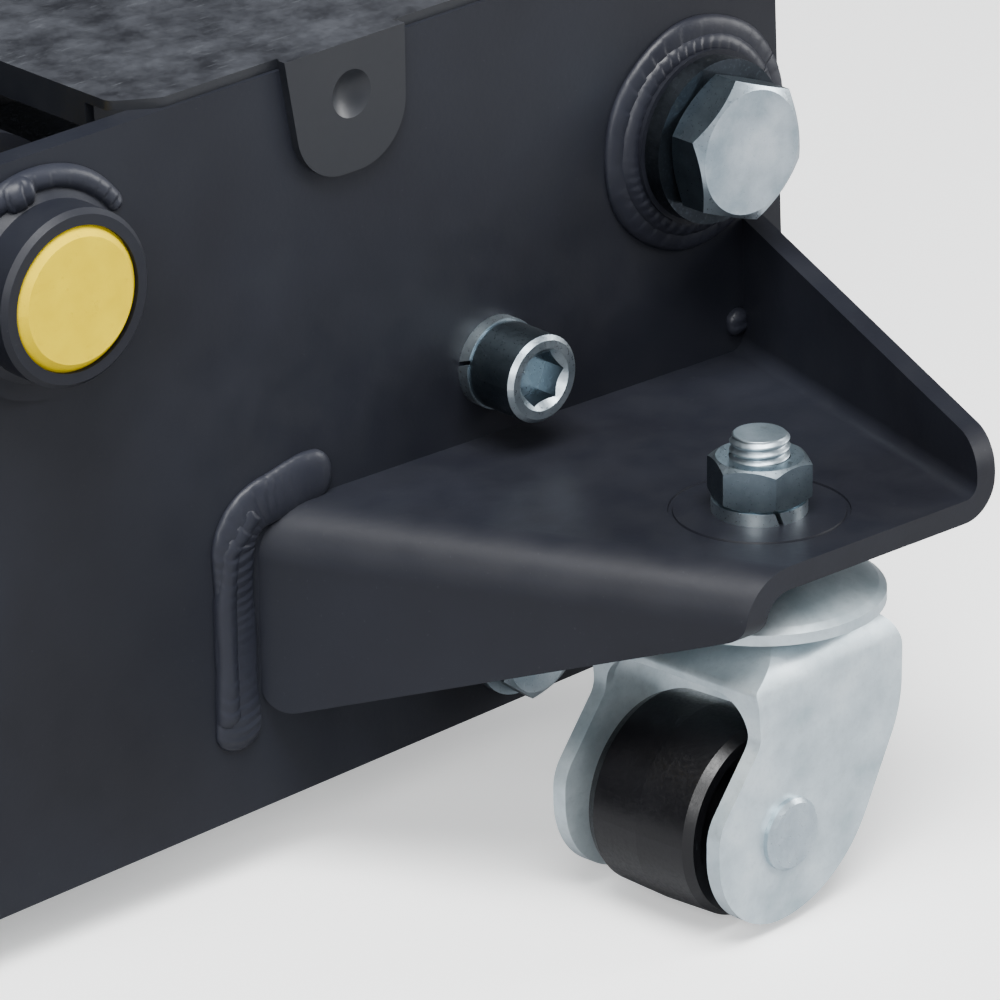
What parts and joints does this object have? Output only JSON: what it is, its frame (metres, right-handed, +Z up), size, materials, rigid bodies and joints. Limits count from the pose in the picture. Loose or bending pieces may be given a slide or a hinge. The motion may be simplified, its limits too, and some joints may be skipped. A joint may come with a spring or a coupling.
{
  "type": "trolley jack",
  "caption": "Low hydraulic trolley jack: two side plates, lift arm with a round saddle, upright pump handle, front wheels and rear swivel casters.",
  "frame": {"origin": "on the floor, under the middle of the jack's length and width", "axes": "+X towards the saddle end, +Y to the left of the jack, +Z up along the upright handle"},
  "size_m": [0.6257, 0.3392, 0.991],
  "materials": {
    "charcoal_paint": "satin charcoal powder coat",
    "yellow_paint": "gloss yellow paint on the shaft ends",
    "cover_sheet": "scuffed dark painted sheet",
    "zinc_plate": "bright zinc plate, fine grain",
    "bare_steel": "machined steel with a film of oil",
    "cast_iron": "painted grey iron casting",
    "black_nylon": "satin black nylon",
    "rubber_grip": "ribbed black rubber",
    "spring_steel": "oiled spring wire"
  },
  "bodies": {
    "chassis": {"left_side_plate": "charcoal_paint", "right_side_plate": "charcoal_paint", "left_caster_bracket": "charcoal_paint", "right_caster_bracket": "charcoal_paint", "main_shaft": "yellow_paint", "shaft_bosses": "charcoal_paint", "pivot_bosses": "charcoal_paint", "pivot_washers": "zinc_plate", "pivot_bolts": "zinc_plate", "lock_washers": "zinc_plate", "unit_cap_screws": "zinc_plate", "unit_bolt_washers": "zinc_plate", "unit_hex_bolts": "zinc_plate", "top_cover": "cover_sheet", "tie_bar": "charcoal_paint", "front_axle": "bare_steel", "axle_spacer": "charcoal_paint", "axle_clips": "zinc_plate", "link_rear_pins": "bare_steel", "caster_studs": "zinc_plate", "caster_races": "zinc_plate", "caster_nuts": "zinc_plate", "pump_block": "cast_iron", "ram_cylinder": "bare_steel", "reservoir_tube": "cast_iron", "gland_nut": "bare_steel", "filler_plug": "zinc_plate", "spring_anchors": "bare_steel", "pump_barrel": "bare_steel", "return_springs": "spring_steel", "pump_spring": "spring_steel"},
    "lift_arm": {"arm_plates": "charcoal_paint", "arm_web": "charcoal_paint", "arm_hub_tube": "charcoal_paint", "lug_pins": "bare_steel", "saddle_pin": "bare_steel"},
    "level_rods": {"level_rods": "bare_steel"},
    "saddle_carrier": {"saddle_carrier": "cast_iron", "link_front_pin": "bare_steel"},
    "saddle": {"saddle": "cast_iron"},
    "ram": {"ram": "bare_steel", "ram_yoke": "cast_iron", "ram_nut": "zinc_plate"},
    "pump_piston": {"pump_piston": "bare_steel"},
    "handle_socket": {"handle_socket": "cast_iron", "pump_cam": "bare_steel", "clamp_screw": "zinc_plate"},
    "handle": {"lower_handle": "charcoal_paint", "upper_handle": "charcoal_paint", "hand_grip": "rubber_grip", "release_driver": "bare_steel"},
    "release_valve": {"release_spindle": "bare_steel"},
    "left_caster": {"left_caster_fork": "zinc_plate", "left_caster_axle": "zinc_plate"},
    "left_caster_wheel": {"left_caster_wheel": "black_nylon"},
    "right_caster": {"right_caster_fork": "zinc_plate", "right_caster_axle": "zinc_plate"},
    "right_caster_wheel": {"right_caster_wheel": "black_nylon"},
    "left_front_wheel": {"left_front_wheel": "black_nylon"},
    "right_front_wheel": {"right_front_wheel": "black_nylon"}
  },
  "joints": [
    {"name": "arm_lift", "type": "hinge", "parent": "chassis", "child": "lift_arm", "pos_m": [-0.1193, 0, 0.1366], "axis": [0, -1, 0], "range_deg": [0, 60]},
    {"name": "rod_swing", "type": "hinge", "parent": "chassis", "child": "level_rods", "pos_m": [-0.1093, 0, 0.1026], "axis": [0, -1, 0], "range_deg": [0, 60]},
    {"name": "saddle_level", "type": "hinge", "parent": "lift_arm", "child": "saddle_carrier", "pos_m": [0.26787, 0, 0.08975], "axis": [0, -1, 0], "range_deg": [-60, 0]},
    {"name": "saddle_turn", "type": "hinge", "parent": "saddle_carrier", "child": "saddle", "pos_m": [0.26787, 0, 0.08975], "axis": [0, 0, 1], "continuous": true},
    {"name": "ram_slide", "type": "slide", "parent": "chassis", "child": "ram", "axis": [1, 0, 0], "range_m": [0, 0.074], "deforming": ["return_springs"]},
    {"name": "handle_pump", "type": "hinge", "parent": "chassis", "child": "handle_socket", "pos_m": [-0.2848, 0, 0.1267], "axis": [0, -1, 0], "range_deg": [0, 80], "stiffness_Nm_per_rad": 12, "springref_deg": -11.46},
    {"name": "pump_stroke", "type": "slide", "parent": "chassis", "child": "pump_piston", "axis": [0.6428, 0, -0.766], "range_m": [0, 0.0121], "deforming": ["pump_spring"]},
    {"name": "handle_twist", "type": "hinge", "parent": "handle_socket", "child": "handle", "pos_m": [-0.2848, 0, 0.1267], "axis": [0, 0, 1], "range_deg": [0, 45]},
    {"name": "valve_turn", "type": "hinge", "parent": "chassis", "child": "release_valve", "pos_m": [-0.2848, 0, 0.1267], "axis": [0, 0, 1], "range_deg": [0, 45]},
    {"name": "left_caster_swivel", "type": "hinge", "parent": "chassis", "child": "left_caster", "pos_m": [-0.2416, 0.1444, 0.06], "axis": [0, 0, 1], "continuous": true},
    {"name": "left_caster_roll", "type": "hinge", "parent": "left_caster", "child": "left_caster_wheel", "pos_m": [-0.22596, 0.14577, 0.02], "axis": [-0.0872, 0.9962, 0], "continuous": true},
    {"name": "left_front_wheel_roll", "type": "hinge", "parent": "chassis", "child": "left_front_wheel", "pos_m": [0.2242, 0, 0.0375], "axis": [0, 1, 0], "continuous": true},
    {"name": "right_caster_swivel", "type": "hinge", "parent": "chassis", "child": "right_caster", "pos_m": [-0.2416, -0.1444, 0.06], "axis": [0, 0, 1], "continuous": true},
    {"name": "right_caster_roll", "type": "hinge", "parent": "right_caster", "child": "right_caster_wheel", "pos_m": [-0.22596, -0.14577, 0.02], "axis": [0.0872, 0.9962, 0], "continuous": true},
    {"name": "right_front_wheel_roll", "type": "hinge", "parent": "chassis", "child": "right_front_wheel", "pos_m": [0.2242, 0, 0.0375], "axis": [0, 1, 0], "continuous": true}
  ],
  "couplings": [
    {"joint": "rod_swing", "follows": "arm_lift", "ratio": 1},
    {"joint": "saddle_level", "follows": "arm_lift", "ratio": -1},
    {"joint": "ram_slide", "follows": "arm_lift", "m_per_rad": 0.070665},
    {"joint": "pump_stroke", "follows": "handle_pump", "m_per_rad": 0.0086},
    {"joint": "valve_turn", "follows": "handle_twist", "ratio": 1}
  ]
}
